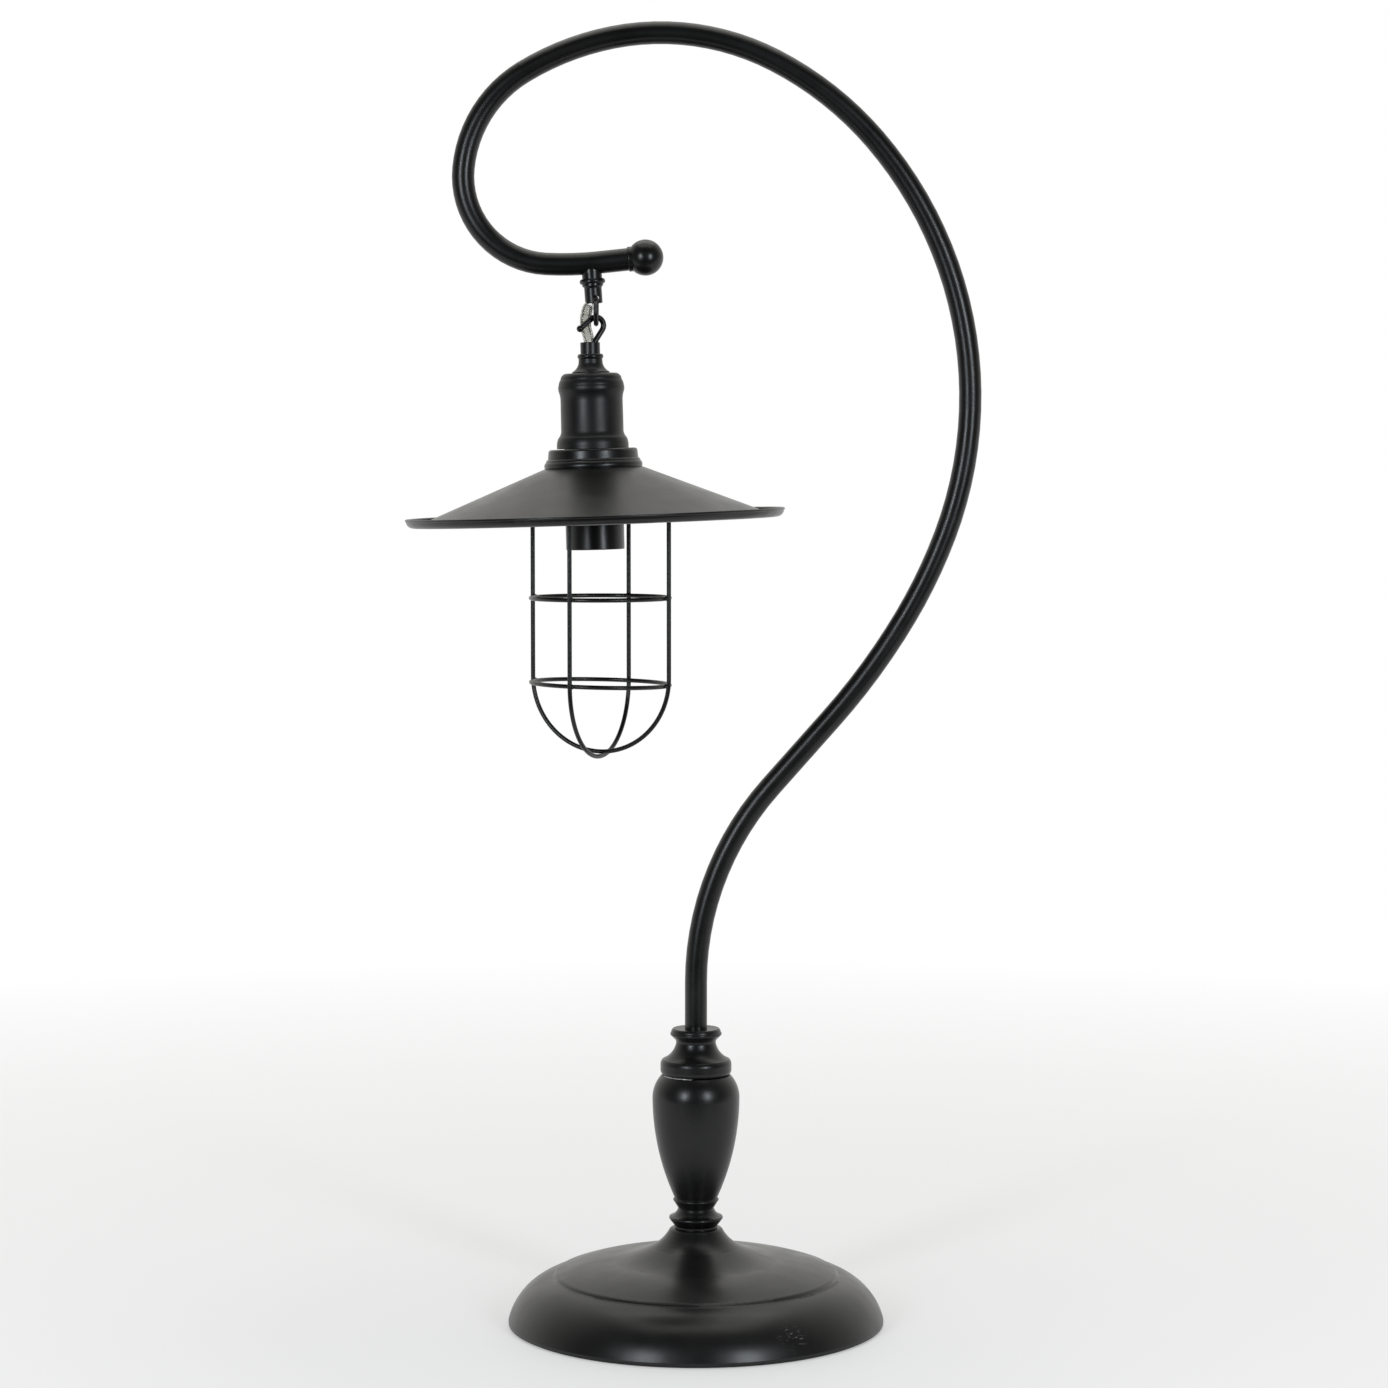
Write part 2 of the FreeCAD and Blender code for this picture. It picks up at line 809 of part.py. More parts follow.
def add_link():
    width = S.link_half_width
    corner = S.link_corner
    bar = width - corner
    leg = S.link_drop - width - corner
    steps = ((bar * 2,), (corner, -90.0), (leg,), (width, -180.0), (leg,), (corner, -90.0))
    section = ("XZ_Plane", bar, (0.0, 0.0))
    link = bent("hanger_link", (-bar, 0.0), 0, steps, S.link_wire_radius,
                path_role="YZ_Plane", section=section)
    keep(link, Placement(link_pivot(), NO_TURN))


# Lantern, drawn upright about the Z axis at its real heights


def hook_eye():
    """The centre of the hook's bend, just below the link's lowest wire."""
    pivot = link_pivot()
    return Vector(pivot.x, 0, pivot.z - S.link_drop.number - 0.7)


def add_hook():
    eye = hook_eye()
    bend = S.hook_bend.number
    shank_lean = 34.0
    free_drop = 39.0
    free_length = 9.6
    tip_radius = 2.1
    yaw = Rotation(Z_AXIS, S.hook_yaw.number)
    cup_seat = LANTERN.multVec(Vector(2.2, -0.8, 590.65))
    cup_mouth = LANTERN.multVec(Vector(2.2, -0.8, 593.4))

    def in_plane(across, up):
        return eye + yaw.multVec(Vector(across, 0, up))

    lean = math.radians(shank_lean)
    drop = math.radians(free_drop)
    shank_top = in_plane(bend * math.cos(lean), -bend * math.sin(lean))
    crown = in_plane(0, bend)
    free_start = in_plane(-bend * math.sin(drop), bend * math.cos(drop))
    tip = in_plane(-bend * math.sin(drop) - free_length * math.cos(drop),
                   bend * math.cos(drop) - free_length * math.sin(drop))
    shank_way = yaw.multVec(Vector(-math.sin(lean), 0, -math.cos(lean)))
    knee = shank_top + shank_way * ((shank_top.z - cup_mouth.z - 1.8) / math.cos(lean))
    shank = rounded_route([cup_seat, cup_mouth, knee, shank_top])
    arc = Part.Arc(shank_top, crown, free_start).toShape()
    free_end = Part.LineSegment(free_start, tip).toShape()
    wire = swept_rod("hook_wire", [*shank, arc, free_end], S.hook_wire_radius)
    knob = doc.addObject("Part::Sphere", "hook_knob")
    bind(knob, Radius=tip_radius)
    knob.Placement = Placement(tip, Rotation(Z_AXIS, tip - free_start))
    keep(fused("lantern_hook", wire, knob))


def add_lantern_top():
    keep(
        turned(
            "hook_cup",
            (
                (THREAD_BORE, 589.0),
                (5.9, 589.0),
                (5.9, S.lantern_z - 0.3),
                (5.6, S.lantern_z),
                (5.3, S.lantern_z),
                (5.3, 590.5),
                (THREAD_BORE, 590.5),
            ),
        ),
        LANTERN,
    )
    keep(
        turned(
            "nipple_ring",
            (
                (THREAD_BORE, 586.0),
                (7.0, 586.0),
                (7.0, 589.0, 1.8),
                (THREAD_BORE, 589.0),
            ),
        ),
        LANTERN,
    )
    keep(
        turned(
            "cap_bell",
            (
                (THREAD_BORE, S.cap_top),
                (11.3, S.cap_top),
                (11.3, S.cap_top + 0.5),
                (7.3, 583.4, -7.5),
                (7.1, 586.0),
                (THREAD_BORE, 586.0),
            ),
        ),
        LANTERN,
    )
    nipple_bottom = S.socket_top - 4
    nipple_top = S.socket_top + 35.5
    keep(sleeve("lantern_nipple", nipple_bottom, nipple_top, S.nipple_radius, S.nipple_bore),
         LANTERN)
    nut_bottom = S.cap_top - 6.6
    keep(hexagon_nut("nipple_nut", nut_bottom, nut_bottom + 5.4, 7.5, THREAD_BORE), LANTERN)
    keep(
        spun(
            "socket_cap",
            (
                (S.cap_radius + 2.9, S.cap_bottom),
                (S.cap_radius + 2.9, 534.6),
                (S.cap_radius + 1.9, 538.8, 10.0),
                (S.cap_radius + 0.1, 542.6, -7.0),
                (S.cap_radius, 561.4),
                (19.6, 566.6, -16.0),
                (19.6, 570.4, 6.0),
                (18.4, 573.8, 6.5),
                (15.6, S.cap_top - 0.4, 4.0),
                (THREAD_BORE, S.cap_top),
            ),
            S.cap_wall,
        ),
        LANTERN,
    )


def add_shade():
    lip_inside = S.shade_radius - S.lip_bead - 0.4
    lip_centre = lip_inside - S.lip_bend
    slope = math.radians(S.shade_slope.number)
    foot_r = lip_centre - S.lip_bend * math.sin(slope)
    foot_z = S.lip_centre_z - S.lip_bend * math.cos(slope)
    crown_r = 29.3
    crown_top = S.cap_bottom - 0.2
    crown_z = foot_z.number + (foot_r.number - crown_r) * math.tan(slope)
    sheet_part = spun(
        "shade_sheet",
        (
            (lip_inside, S.lip_centre_z),
            (foot_r, foot_z, -S.lip_bend),
            (crown_r, crown_z),
            (28.5, 524.6, 3.2),
            (27.2, 526.4, 2.2),
            (26.8, crown_top - 1.6),
            (25.2, crown_top, 1.7),
            (S.shade_hole, crown_top),
        ),
        -S.shade_wall,
    )
    bead = doc.addObject("Part::Torus", "shade_bead")
    bind(bead, Radius1=lip_inside + 0.4, Radius2=S.lip_bead)
    bead.Placement = raised(S.lip_centre_z + 0.2)
    keep(fused("shade", sheet_part, bead), SHADE)


def add_socket():
    shell_radius = S.shell_bore + S.shell_wall
    body_bore = shell_radius + 0.05
    keep(
        turned(
            "socket_body",
            (
                (body_bore, S.disc_top),
                (body_bore, S.socket_bottom + 1.2),
                (15.4, S.socket_bottom),
                (S.socket_radius - 0.5, S.socket_bottom),
                (S.socket_radius, S.socket_bottom + 0.5, 0.5),
                (S.socket_radius, S.cap_bottom - 0.6),
                (17.2, S.cap_bottom - 0.6),
                (17.2, S.socket_top - 3),
                (15.2, S.socket_top, 2.6),
                (THREAD_BORE, S.socket_top),
                (THREAD_BORE, S.socket_top - 4),
                (12.6, S.socket_top - 4),
                (12.6, S.disc_top),
            ),
        ),
        LANTERN,
    )
    shell_top = S.disc_bottom - 4.4
    shell = sleeve("socket_shell", S.socket_bottom + 2, shell_top, shell_radius, S.shell_bore)
    keep(shell, LANTERN)
    ring_top = S.plate_bottom - 0.6
    keep(sleeve("socket_ring", ring_top - 4.2, ring_top, 20.6, S.socket_radius + 0.1), LANTERN)
    add_socket_contacts()


def add_socket_contacts():
    screw_reach = 9.0
    screw_shaft = 1.5
    screw_head = 3.2
    rivet_reach = 7.0
    rivet_shaft = 1.1
    disc_radius = S.shell_bore + S.shell_wall - 0.05
    disc = sleeve("socket_disc_blank", S.disc_bottom, S.disc_top, disc_radius)
    drill_length = S.disc_top - S.disc_bottom + 2
    holes = []
    for name, x, y, radius in (
        ("disc_hole_front", 0, -screw_reach, screw_shaft + 0.1),
        ("disc_hole_rear", 0, screw_reach, screw_shaft + 0.1),
        ("disc_hole_rivet", rivet_reach, 0, rivet_shaft + 0.1),
    ):
        hole_place = Placement(Vector(x, y, S.disc_bottom.number - 1), NO_TURN)
        holes.append(cylinder(name, radius, drill_length, hole_place))
    keep(cut("socket_disc", disc, *holes), LANTERN)

    screws = []
    for side in (-1, 1):
        spot = Vector(0, side * screw_reach, 0)
        shaft = Part.makeCylinder(screw_shaft, 4.5, spot + Vector(0, 0, S.disc_bottom.number - 0.5))
        head = Part.makeCylinder(screw_head, 1.8, spot + Vector(0, 0, S.disc_top.number + 1.2))
        slot = Part.makeBox(2 * screw_head, 0.8, 0.8,
                            spot + Vector(-screw_head, -0.4, S.disc_top.number + 2.2))
        screws.append(shaft.fuse(head).cut(slot).removeSplitter())
    group = doc.addObject("Part::Feature", "terminal_screws")
    group.Label = "terminal_screws"
    group.Shape = Part.makeCompound(screws)
    keep(group, LANTERN)

    rivet_bottom = S.disc_bottom - 3.2
    rivet = turned(
        "contact_rivet",
        (
            (0.0, rivet_bottom),
            (1.9, rivet_bottom + 0.5, 3.8),
            (1.9, rivet_bottom + 0.8),
            (rivet_shaft, rivet_bottom + 0.8),
            (rivet_shaft, S.disc_top),
            (1.9, S.disc_top),
            (1.4, S.disc_top + 0.7, 0.9),
            (0.0, S.disc_top + 0.7),
        ),
    )
    keep(rivet, LANTERN.multiply(Placement(Vector(rivet_reach, 0, 0), NO_TURN)))


LEAF_ROOT = 9.0
LEAF_SLOPE = 14.0


def add_contact_leaf():
    """A brass strip that slopes down from its root to below the middle of the disc."""
    length = 12.0
    width = 5.0
    thickness = 0.4
    gap_below_disc = 0.5
    rivet_hole = 1.45
    strip = doc.addObject("Part::Box", "leaf_strip")
    bind(strip, Length=length, Width=width, Height=thickness)
    strip.Placement = Placement(Vector(-length, -width / 2, -thickness), NO_TURN)
    hole_place = Placement(Vector(7.0 - LEAF_ROOT, 0, -2), NO_TURN)
    hole = cylinder("leaf_hole", rivet_hole, 4.0, hole_place)
    root = Vector(LEAF_ROOT, 0, S.disc_bottom.number - gap_below_disc)
    slope = Placement(root, Rotation(Y_AXIS, -LEAF_SLOPE))
    keep(cut("contact_leaf", strip, hole), LANTERN.multiply(slope))


def hoop_steps(bottom, shift):
    """One hoop from the plate: down, out under the shade, down, round the bottom and back up.

    Its round bottom is centred that shift away from the plate's centre, on the first side.
    """
    inner = 22.3
    small = 6.0
    large = 8.0
    first = 5.9
    start_z = S.plate_bottom - 0.2
    steep = 90 - S.shade_slope.number
    turn = math.radians(steep)
    flat = math.radians(S.shade_slope.number)
    slope_start_r = inner + small * (1 - math.cos(turn))
    runs = []
    for offset in (shift, -shift):
        shoulder_r = S.cage_radius + offset - large * (1 - math.sin(flat))
        slope_length = (shoulder_r - slope_start_r) * (1 / math.cos(flat))
        fall = slope_length.number * math.sin(flat) + small * math.sin(turn) + large * math.cos(flat)
        side = start_z - first - fall - S.cage_radius - bottom
        runs.append((slope_length, side))
    (slope_out, side_out), (slope_back, side_back) = runs
    out = [(first,), (small, steep), (slope_out,), (large, -steep), (side_out,)]
    back = [(side_back,), (large, -steep), (slope_back,), (small, steep), (first,)]
    return inner, start_z, [*out, (S.cage_radius, -180.0), *back]


def add_cage():
    keep(sleeve("cage_plate", S.plate_bottom, S.plate_top, 24.8, S.shade_hole), CAGE)
    step_up = S.cage_wire_radius * 2 + S.weld_gap
    for name, yaw, bottom, shift in (
        ("cage_hoop_front", -S.cage_yaw.number, S.cage_bottom + step_up, S.cage_shift.number),
        ("cage_hoop_under", 90 - S.cage_yaw.number, S.cage_bottom, S.cage_shift.number - 0.4),
    ):
        along = shift * math.cos(math.radians(yaw))
        aside = -shift * math.sin(math.radians(yaw))
        inner, start_z, steps = hoop_steps(bottom, along)
        section = ("XY_Plane", start_z, (inner, 0.0))
        hoop = bent(name, (inner, start_z), -90, steps, S.cage_wire_radius, section=section)
        turn = Placement(Vector(), Rotation(Z_AXIS, yaw))
        keep(hoop, CAGE.multiply(turn).multiply(Placement(Vector(0, aside, 0), NO_TURN)))
    ring_radius = S.cage_radius - S.cage_wire_radius - S.ring_wire_radius - S.weld_gap
    for name, height, tilt in (
        ("cage_ring_upper", S.ring_upper_z, 0.0),
        ("cage_ring_lower", S.ring_lower_z, S.ring_lower_tilt),
    ):
        ring = doc.addObject("Part::Torus", name)
        ring.Label = name
        bind(ring, Radius1=ring_radius, Radius2=S.ring_wire_radius)
        keep(ring, CAGE.multiply(leaning(S.cage_shift, height, -number_of(tilt))))


# Leads


def add_stand_lead():
    """From the bushing, through the weight's channel, up the rod and the crook to the hanger."""
    foot_bend = 4.0
    run_height = 5.6
    slant_end = Vector(0, S.base_radius.number - 54, run_height)
    inlet = inlet_seat()
    corner_cosine = math.cos(math.radians(45))
    turn_start = Vector(0, foot_bend, run_height)
    turn_middle = turn_start + Vector(0, -corner_cosine, 1 - corner_cosine) * foot_bend
    turn_end = Vector(0, 0, run_height + foot_bend)
    edges = rounded_route(
        [
            inlet.multVec(Vector(0, 0, -1.0)),
            inlet.multVec(Vector(0, 0, -7.0)),
            Vector(0, S.base_radius.number - 20, run_height),
            slant_end,
        ]
    )
    tube_bottom = Vector(0, S.tube_bottom.number, 0)
    edges.append(Part.LineSegment(slant_end, turn_start).toShape())
    edges.append(Part.Arc(turn_start, turn_middle, turn_end).toShape())
    edges.append(Part.LineSegment(turn_end, Vector(0, 0, tube_bottom.y)).toShape())

    *whole_steps, last_bend, _ = crook_steps()
    share_before_hanger = 0.45
    steps = [*whole_steps, (last_bend[0], last_bend[1] * share_before_hanger)]
    chain, end, heading = bend_chain(tube_bottom, 90, steps)
    edges.extend(to_upright(edge.toShape()) for edge, _, _ in chain)

    way = math.radians(heading)
    tube_end = Vector(end.x, 0, end.y)
    run_way = Vector(math.cos(way), 0, math.sin(way))
    nipple_end = HANGER.multVec(Vector(0, 0, -14.0))
    down = HANGER.Rotation.multVec(Vector(0, 0, -1))
    reach = run_way.dot(HANGER.Base - tube_end)
    corner = tube_end + run_way * reach
    bend = min(reach - 0.2, 4.5)
    bend_start = corner - run_way * bend
    bend_end = corner + down * bend
    inward = (down - run_way).normalize()
    half_turn = run_way.getAngle(down) / 2
    radius = bend / math.tan(half_turn)
    bend_middle = corner + inward * (radius / math.cos(half_turn) - radius)
    edges.append(Part.LineSegment(tube_end, bend_start).toShape())
    edges.append(Part.Arc(bend_start, bend_middle, bend_end).toShape())
    edges.append(Part.LineSegment(bend_end, nipple_end).toShape())
    keep(swept_rod("stand_lead", edges, S.lead_radius))
    return nipple_end


def add_clear_lead(start):
    """The visible stretch: out of the hanger cup past the link, and into the hook cup."""
    end = LANTERN.multVec(LEAD_SEAT)
    mouth = LANTERN.multVec(Vector(-1.3, 0.9, 597.5))
    middle = (start + end) * 0.5
    points = [
        start,
        HANGER.multVec(Vector(0, 0, -16.0)),
        HANGER.multVec(Vector(-2.5, 0, -19.4)),
        HANGER.multVec(Vector(-3.4, 0.2, -26.0)),
        Vector(middle.x - 3.9, 2.0, middle.z - 1.0),
        mouth,
        LANTERN.multVec(LEAD_SEAT + Vector(0, 0, 3.0)),
        end,
    ]
    keep(swept_rod("clear_lead", rounded_route(points), S.lead_radius))


def add_socket_lead():
    terminal = LANTERN.multVec(Vector(0, 8.0, S.disc_top.number + 5))
    points = [
        LANTERN.multVec(LEAD_SEAT),
        LANTERN.multVec(LEAD_SEAT - Vector(0, 0, 40.0)),
        LANTERN.multVec(Vector(0, 6.0, 530.0)),
        terminal,
    ]
    keep(swept_rod("socket_lead", rounded_route(points), S.lead_radius))


def to_upright(shape):
    """Turn edges drawn in the XY plane up into the XZ plane."""
    shape.Placement = Placement(Vector(), Rotation(X_AXIS, 90))
    return shape


def finish():
    doc.recompute()
    for thing in doc.Objects:
        if "Invalid" in thing.State or "Error" in thing.State:
            raise RuntimeError(f"{thing.Name} failed: {thing.State}")
    for piece in nodes:
        shape = piece.Shape
        if shape.isNull() or not shape.isValid() or not shape.Solids:
            raise RuntimeError(f"{piece.Label} has no valid solid")
    os.makedirs("parts", exist_ok=True)
    for piece in nodes:
        piece.Shape.exportStep(f"parts/{piece.Label}.step")
    print(f"{len(nodes)} pieces written")


add_base()
add_column()
add_crook()
add_hanger()
add_link()
add_hook()
add_lantern_top()
add_shade()
add_socket()
add_contact_leaf()
add_cage()
lead_joint = add_stand_lead()
add_clear_lead(lead_joint)
add_socket_lead()
finish()
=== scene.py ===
import json
import math
import random

import bmesh
import bpy
from mathutils import Matrix, Quaternion, Vector, noise


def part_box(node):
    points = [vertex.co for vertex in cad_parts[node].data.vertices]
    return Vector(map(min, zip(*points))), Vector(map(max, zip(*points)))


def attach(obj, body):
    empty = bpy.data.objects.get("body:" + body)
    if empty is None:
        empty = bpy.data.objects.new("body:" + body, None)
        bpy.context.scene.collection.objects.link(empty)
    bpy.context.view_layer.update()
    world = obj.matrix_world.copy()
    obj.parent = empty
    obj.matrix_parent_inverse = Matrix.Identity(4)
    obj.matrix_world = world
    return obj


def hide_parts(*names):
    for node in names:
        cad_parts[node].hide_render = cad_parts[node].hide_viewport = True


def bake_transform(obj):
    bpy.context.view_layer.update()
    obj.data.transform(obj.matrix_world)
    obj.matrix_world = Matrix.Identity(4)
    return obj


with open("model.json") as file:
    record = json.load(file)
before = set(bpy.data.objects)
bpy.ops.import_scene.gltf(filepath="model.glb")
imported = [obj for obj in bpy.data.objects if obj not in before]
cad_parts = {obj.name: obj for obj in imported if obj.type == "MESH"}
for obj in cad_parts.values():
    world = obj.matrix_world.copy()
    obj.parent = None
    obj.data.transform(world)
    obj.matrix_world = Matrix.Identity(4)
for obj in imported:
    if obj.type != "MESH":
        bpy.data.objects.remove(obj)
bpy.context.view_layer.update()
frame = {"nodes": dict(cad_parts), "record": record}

MM = 0.001
FRONT = Vector((0, -1, 0))
UP = Vector((0, 0, 1))

# The camera's place and lens, in metres, degrees and millimetres
CAMERA_PLACE = (-0.0012, -2.160, 0.5226)
CAMERA_DOWN = 3.66
CAMERA_LENS = 92.93
CAMERA_SENSOR = 36.0

# Softboxes: turned this far to either side of the camera, in degrees, metres and watts
SOFTBOX_TURN = 32.0
SOFTBOX_DISTANCE = 2.1
SOFTBOX_HEIGHT = 0.80
SOFTBOX_AIM = (0, 0, 0.4)
SOFTBOX_SIZE = (0.28, 0.75)
SOFTBOX_POWER = 16.0
SOFTBOX_COLOUR = (0.88, 0.94, 1.0)

# The wide light above the lamp
OVERHEAD_PLACE = (0.0, 0.3, 2.4)
OVERHEAD_SIZE = (2.0, 2.0)
OVERHEAD_POWER = 18.0
OVERHEAD_COLOUR = (1.0, 0.99, 0.96)

# The floor, in metres: its reach, its front edge, and where it starts and ends to fade
FLOOR_REACH = 40.0
FLOOR_FRONT = -0.5
FLOOR_FADE = (0.25, 1.6)

# The surroundings' strength goes from dark to bright between these depths of the view direction
WORLD_DEPTHS = (-0.5, 0.75)
WORLD_STRENGTHS = (0.025, 0.95)
WORLD_COLOUR = (1.0, 0.99, 0.965, 1.0)

# The hanging lantern's own frame: its axis runs up from the middle of the screw shell
MOUNTS = {mount["name"]: mount for mount in frame["record"]["mounts"]}
SOCKET = MOUNTS["lamp_socket"]
LANTERN_UP = -Vector(SOCKET["axis"]).normalized()
LANTERN_LEAN = UP.rotation_difference(LANTERN_UP).to_matrix().to_4x4()
LANTERN = Matrix.Translation(Vector(SOCKET["pos_m"])) @ LANTERN_LEAN
SHELL_BORE = SOCKET["dims"]["r_mm"] * MM
SHELL_LENGTH = SOCKET["dims"]["length_mm"] * MM

# The cage: its turn about the vertical in degrees, its hoops' radius, and its wires' thickness
CAGE_YAW = 22.0
CAGE_RADIUS = 44.7 * MM
HOOP_WIRE = 2.7 * MM
RING_WIRE = 2.6 * MM

# The rolled screw shell, and its round thread
THREAD_PITCH = 3.63 * MM
THREAD_DEPTH = 0.75 * MM
SHELL_WALL = 0.35 * MM

# The flat lead: half its thickness, half the way between its two cores, and its steps
LEAD_HALF_DEPTH = 1.45 * MM
CORE_SPACING = 2.05 * MM
VALLEY_DEPTH = 0.62
LEAD_RINGS = 81
LEAD_SPLIT = LEAD_RINGS // 2 - 6

# The strands of each core
STRANDS = 7
STRAND_RADIUS = 0.22 * MM
LAY_RADIUS = 0.48 * MM
LAY_RINGS = 26

# The bare sliver in the seam above the vase: its radii, and where it starts and ends, in degrees
SHOULDER_INNER = 19.0 * MM
SHOULDER_OUTER = 20.55 * MM
SHOULDER_SPAN = (192, 264)

# A scraped spot low on the base's front: its place and its radius
SCUFF = ((0.058, -0.096, 0.016), 0.012)


def box_centre(node):
    low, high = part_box(node)
    return (low + high) / 2


# Shaders


class Shader:
    """A node material, with short ways to add nodes and join them."""

    def __init__(self, name, **surface):
        self.material = bpy.data.materials.new(name)
        self.material.use_nodes = True
        self.tree = self.material.node_tree
        self.surface = self.tree.nodes["Principled BSDF"]
        self.place = self.add("ShaderNodeTexCoord").outputs["Object"]
        self.set(**surface)

    def add(self, kind, settings=None, **inputs):
        node = self.tree.nodes.new(kind)
        for name, value in (settings or {}).items():
            setattr(node, name, value)
        for name, value in inputs.items():
            self.feed(node.inputs[name.replace("_", " ")], value)
        return node

    def feed(self, socket, value):
        if isinstance(value, bpy.types.NodeSocket):
            self.tree.links.new(value, socket)
        else:
            socket.default_value = value

    def set(self, **inputs):
        for name, value in inputs.items():
            self.feed(self.surface.inputs[name.replace("_", " ")], value)

    def noise(self, scale, detail=2.0, roughness=0.5, place=None):
        node = self.add("ShaderNodeTexNoise", Vector=place or self.place, Scale=scale,
                        Detail=detail, Roughness=roughness)
        return node.outputs["Fac"]

    def cells(self, scale, place=None):
        node = self.add("ShaderNodeTexVoronoi", Vector=place or self.place, Scale=scale)
        return node.outputs["Distance"]

    def stretched(self, x, y, z):
        """The piece's coordinates, scaled along each axis."""
        node = self.add("ShaderNodeMapping", Vector=self.place)
        node.inputs["Scale"].default_value = (x, y, z)
        return node.outputs["Vector"]

    def ramp(self, value, low, high, bottom=0.0, top=1.0):
        """Takes value from low..high to bottom..top, and holds it there."""
        node = self.add("ShaderNodeMapRange", {"clamp": True}, Value=value)
        limits = (("From Min", low), ("From Max", high), ("To Min", bottom), ("To Max", top))
        for name, number in limits:
            node.inputs[name].default_value = number
        return node.outputs["Result"]

    def maths(self, operation, first, second=0.0):
        node = self.add("ShaderNodeMath", {"operation": operation})
        self.feed(node.inputs[0], first)
        self.feed(node.inputs[1], second)
        return node.outputs[0]

    def blend(self, share, first, second):
        """A colour between two others."""
        node = self.add("ShaderNodeMix", {"data_type": "RGBA"})
        self.feed(node.inputs[0], share)
        self.feed(node.inputs[6], first)
        self.feed(node.inputs[7], second)
        return node.outputs[2]

    def bumps(self, *layers):
        """Stack bump layers of (height, depth in metres) and give them to the surface."""
        normal = None
        for height, depth in layers:
            node = self.add("ShaderNodeBump", Height=height, Distance=depth, Strength=1.0)
            if normal is not None:
                self.feed(node.inputs["Normal"], normal)
            normal = node.outputs["Normal"]
        self.set(Normal=normal)


def grey(value, tint=0.0):
    """A grey, warmer where tint is above zero and cooler below."""
    return (value * (1 + tint), value, value * (1 - tint), 1.0)


def powder_coat(name, peel=0.0000006, sag=0.0, scuff=None, matt=0.29):
    """Satin black powder coat: faint orange peel, dust nibs and rubbed patches.

    A scuff is a place and its radius, in metres, where something has scraped the coat.
    The roughness is matt where the coat is most polished, and a little more elsewhere.
    """
    coat = Shader(name, Metallic=0.0)
    coat.surface.inputs["IOR"].default_value = 1.47
    coat.surface.inputs["Specular IOR Level"].default_value = 0.45
    rubbed = coat.ramp(coat.noise(24.0, 4.0), 0.42, 0.66)
    grain = coat.noise(420.0, 3.0)
    tone = coat.blend(rubbed, grey(0.0030, 0.03), grey(0.0050, 0.05))
    tone = coat.blend(coat.ramp(grain, 0.3, 0.75, 0.0, 0.35), tone, grey(0.007, 0.02))
    if scuff:
        place, reach = scuff
        away = coat.add("ShaderNodeVectorMath", {"operation": "DISTANCE"})
        coat.feed(away.inputs[0], coat.place)
        away.inputs[1].default_value = place
        near = coat.ramp(away.outputs["Value"], 0.3 * reach, reach, 1.0, 0.0)
        scratches = coat.ramp(coat.noise(1.0, 3.0, 0.7, coat.stretched(260, 260, 1100)), 0.58, 0.68)
        tone = coat.blend(coat.maths("MULTIPLY", near, scratches), tone, grey(0.16, 0.03))
    polish = coat.ramp(coat.noise(60.0, 3.0), 0.3, 0.7, matt, matt + 0.07)
    fine = coat.ramp(coat.noise(2600.0, 1.0), 0.2, 0.8, -0.02, 0.02)
    coat.set(Base_Color=tone, Roughness=coat.maths("ADD", polish, fine))
    nibs = coat.ramp(coat.cells(260.0), 0.0, 0.10, 1.0, 0.0)
    layers = [(coat.noise(620.0, 2.0), peel), (coat.noise(2300.0, 1.0), peel / 4), (nibs, peel)]
    if sag:
        layers.insert(0, (coat.noise(30.0, 1.0), sag))
    coat.bumps(*layers)
    return coat.material


def plated_steel(name):
    """Zinc plate: cloudy grey with fine turning lines round the Z axis."""
    plate = Shader(name, Metallic=1.0)
    clouds = plate.noise(140.0, 4.0)
    lines = plate.noise(1.0, 2.0, place=plate.stretched(60, 60, 5200))
    plate.set(Base_Color=plate.blend(clouds, grey(0.40, -0.02), grey(0.62, 0.01)))
    plate.set(Roughness=plate.ramp(clouds, 0.3, 0.7, 0.28, 0.44))
    plate.bumps((lines, 0.000012), (plate.noise(1800.0), 0.000006))
    return plate.material


def cast_iron(name):
    """Rough sand casting, dark grey with a few rust blooms."""
    iron = Shader(name, Metallic=0.6)
    sand = iron.noise(900.0, 4.0, 0.7)
    bloom = iron.ramp(iron.noise(70.0, 5.0), 0.58, 0.72)
    tone = iron.blend(iron.noise(200.0, 3.0), grey(0.055), grey(0.12, 0.03))
    iron.set(Base_Color=iron.blend(bloom, tone, (0.13, 0.055, 0.025, 1.0)))
    iron.set(Roughness=iron.ramp(sand, 0.2, 0.8, 0.55, 0.85))
    iron.bumps((sand, 0.0002), (iron.noise(110.0, 2.0), 0.0004))
    return iron.material


def pressed_felt(name):
    """Black felt: matted fibres that cross each other, with a soft sheen."""
    felt = Shader(name, Roughness=0.95)
    felt.surface.inputs["Sheen Weight"].default_value = 0.35
    felt.surface.inputs["Sheen Roughness"].default_value = 0.6
    across = felt.noise(1.0, 3.0, place=felt.stretched(420, 2600, 2600))
    along = felt.noise(1.0, 3.0, place=felt.stretched(2600, 420, 2600))
    fibres = felt.maths("MAXIMUM", across, along)
    tone = felt.blend(felt.ramp(fibres, 0.4, 0.75), grey(0.010), grey(0.045, 0.04))
    felt.set(Base_Color=tone)
    felt.bumps((fibres, 0.00025), (felt.noise(90.0, 2.0), 0.0003))
    return felt.material


